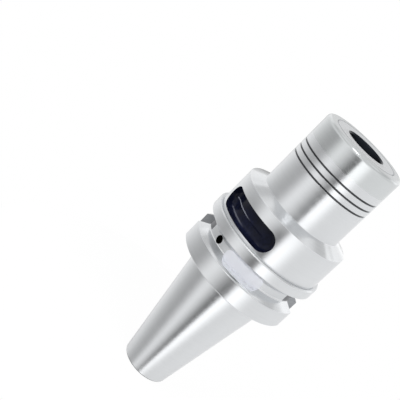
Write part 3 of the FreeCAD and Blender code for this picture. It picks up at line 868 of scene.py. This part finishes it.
# The photograph's camera, found by fitting the outline of the standard taper and flange
CAMERA_LENS, CAMERA_SENSOR = 80.10, 36.0
CAMERA_PLACE = Vector((-0.00049, -0.40214, 0.15402))
CAMERA_TARGET = Vector((-0.03732, -0.00004, 0.01602))
CAMERA_ROLL, CAMERA_TURN = 44.08, -1.8


def graded_wall(name, surface, levels, around):
    """Finish of an unseen studio wall or ceiling, graded round the chuck or outwards from its axis."""
    material = bpy.data.materials.new(f"painted {name}")
    material.use_nodes = True
    tree = material.node_tree
    tree.nodes.clear()
    place = add(tree, "ShaderNodeTexCoord")
    split = add(tree, "ShaderNodeSeparateXYZ", {"Vector": place.outputs["Object"]})
    forward = add(tree, "ShaderNodeMath", {0: split.outputs["Y"]}, {1: -1.0}, operation="MULTIPLY")
    azimuth = add(tree, "ShaderNodeMath", {0: split.outputs["X"], 1: forward.outputs["Value"]},
                  operation="ARCTAN2")
    across = add(tree, "ShaderNodeCombineXYZ", {"X": split.outputs["X"], "Y": split.outputs["Y"]})
    radius = add(tree, "ShaderNodeVectorMath", {0: across.outputs["Vector"]}, operation="LENGTH")
    source = azimuth.outputs["Value"] if around else radius.outputs["Value"]
    low, high = levels[0][0], levels[-1][0]
    scale = math.radians(1) if around else 1.0
    share = add(tree, "ShaderNodeMapRange", {"Value": source},
                {"From Min": low * scale, "From Max": high * scale})
    grade = add(tree, "ShaderNodeValToRGB", {"Fac": share.outputs["Result"]})
    set_ramp(grade.color_ramp, [((at - low) / (high - low), level / GRADE_TOP) for at, level in levels])
    light = add(tree, "ShaderNodeEmission", {"Color": grade.outputs["Color"]}, {"Strength": GRADE_TOP})
    add(tree, "ShaderNodeOutputMaterial", {"Surface": light.outputs["Emission"]})
    surface.data.materials.append(material)
    for visible in ("visible_camera", "visible_shadow", "visible_diffuse", "visible_transmission"):
        setattr(surface, visible, False)
    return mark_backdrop(surface)


class CHUCK_OT_stage(Operator):
    """Set the floor, the soft lamps, the studio's walls, the white surroundings and the camera"""

    bl_idname = "chuck.set_stage"
    bl_label = "Studio"

    def execute(self, context):
        scene = context.scene
        self.lay_floor(scene)
        self.light(scene)
        self.build_walls(scene)
        self.surround(scene)
        self.aim_camera(scene)
        scene.view_settings.view_transform = "Standard"
        return {"FINISHED"}

    def lay_floor(self, scene):
        """Round pale floor under the shank, white where nothing shades it."""
        floor = disc("studio_floor", FLOOR_RADIUS, SMALL_END * MM - FLOOR_GAP)
        material, tree, shader = blank_material("pale floor paper")
        shader.inputs["Base Color"].default_value = linear("#f2f2f2")
        shader.inputs["Roughness"].default_value = 0.9
        share = add(tree, "ShaderNodeMath", {0: seen_share(tree)}, {1: scene.chuck_studio.floor_white},
                    operation="MULTIPLY")
        white = add(tree, "ShaderNodeEmission", inputs={"Color": (1, 1, 1, 1), "Strength": 1.0})
        mix = add(tree, "ShaderNodeMixShader", {"Fac": share.outputs["Value"], 1: shader.outputs["BSDF"],
                                                2: white.outputs["Emission"]})
        wire(tree, tree.nodes["Material Output"], {"Surface": mix.outputs["Shader"]})
        floor.data.materials.append(material)
        # The steel mirrors the white round about and the walls' bands, and the floor doesn't break them off
        floor.visible_glossy = False

    def light(self, scene):
        """Soft key lamp and fill lamp for all that isn't metal."""
        for name, azimuth, height, size, power in LAMPS:
            start()
            place = compass(azimuth) * LAMP_DISTANCE + Vector((0, 0, height))
            bpy.ops.object.light_add(type="AREA", location=place)
            lamp = bpy.context.object
            lamp.name = f"{name}_lamp"
            lamp.data.shape = "DISK"
            lamp.data.size = size
            lamp.data.energy = scene.chuck_studio.lamp_power * power
            lamp.rotation_euler = (Vector((0, 0, 0.02)) - lamp.location).to_track_quat("-Z", "Y").to_euler()
            lamp.visible_glossy = False

    def build_walls(self, scene):
        """Walls and ceiling that only the steel mirrors, so that it shows soft bands along its length."""
        radius = scene.chuck_studio.wall_distance
        for name, low, high, levels in WALLS:
            wall = turn(f"studio_{name}_wall", [(radius / MM, low), (radius / MM, high)], 96)
            graded_wall(f"{name} wall", wall, levels, True)
        graded_wall("ceiling", disc("studio_ceiling", radius, CEILING_HEIGHT), CEILING_LEVELS, False)
        graded_wall("skylight", block("studio_skylight", *SKYLIGHT_BOX), SKYLIGHT_LEVELS, False)

    def surround(self, scene):
        """White round about for the eye and the metal, plain soft light for the rest."""
        world = bpy.data.worlds.new("studio white")
        world.use_nodes = True
        tree = world.node_tree
        tree.nodes.clear()
        plain = add(tree, "ShaderNodeBackground", inputs={"Color": (1, 1, 1, 1), "Strength": 0.6})
        white = add(tree, "ShaderNodeBackground", inputs={"Color": (1, 1, 1, 1), "Strength": 1.0})
        mix = add(tree, "ShaderNodeMixShader", {"Fac": seen_share(tree), 1: plain.outputs["Background"],
                                                2: white.outputs["Background"]})
        add(tree, "ShaderNodeOutputWorld", {"Surface": mix.outputs["Shader"]})
        scene.world = world

    def aim_camera(self, scene):
        """The photograph's view: a little above, and rolled so that the chuck leans."""
        start()
        bpy.ops.object.camera_add()
        camera = bpy.context.object
        camera.name = "view_camera"
        camera.data.sensor_width = CAMERA_SENSOR
        camera.data.lens = CAMERA_LENS
        camera.data.clip_start = 0.01
        looking = (CAMERA_TARGET - CAMERA_PLACE).to_track_quat("-Z", "Y")
        rolled = looking @ Quaternion((0, 0, 1), math.radians(CAMERA_ROLL))
        camera.matrix_world = (Matrix.Rotation(math.radians(CAMERA_TURN), 4, "Z")
                               @ Matrix.Translation(CAMERA_PLACE) @ rolled.to_matrix().to_4x4())
        scene.camera = camera


class CHUCK_PT_panel(Panel):
    """Lists the chuck's pieces and their sizes"""

    bl_label = "Hydraulic chuck"
    bl_idname = "CHUCK_PT_panel"
    bl_space_type = "VIEW_3D"
    bl_region_type = "UI"
    bl_category = "Chuck"

    def draw(self, context):
        for operator in OPERATORS:
            self.layout.operator(operator.bl_idname)
        for group in (context.scene.chuck_sizes, context.scene.chuck_colours, context.scene.chuck_studio):
            box = self.layout.box()
            for key in group.__annotations__:
                box.prop(group, key)


OPERATORS = (CHUCK_OT_holder, CHUCK_OT_sleeve, CHUCK_OT_screws, CHUCK_OT_seals, CHUCK_OT_stage)
GROUPS = (ChuckSizes, ChuckColours, StudioSettings)


def register():
    for item in GROUPS + OPERATORS + (CHUCK_PT_panel,):
        bpy.utils.register_class(item)
    bpy.types.Scene.chuck_sizes = PointerProperty(type=ChuckSizes)
    bpy.types.Scene.chuck_colours = PointerProperty(type=ChuckColours)
    bpy.types.Scene.chuck_studio = PointerProperty(type=StudioSettings)


def unregister():
    del bpy.types.Scene.chuck_studio
    del bpy.types.Scene.chuck_colours
    del bpy.types.Scene.chuck_sizes
    for item in reversed(GROUPS + OPERATORS + (CHUCK_PT_panel,)):
        bpy.utils.unregister_class(item)


def main():
    """Makes every piece in order."""
    register()
    bpy.ops.chuck.turn_holder()
    bpy.ops.chuck.turn_sleeve()
    bpy.ops.chuck.turn_screws()
    bpy.ops.chuck.finish_seals()
    bpy.ops.chuck.set_stage()


if __name__ == "__main__":
    main()
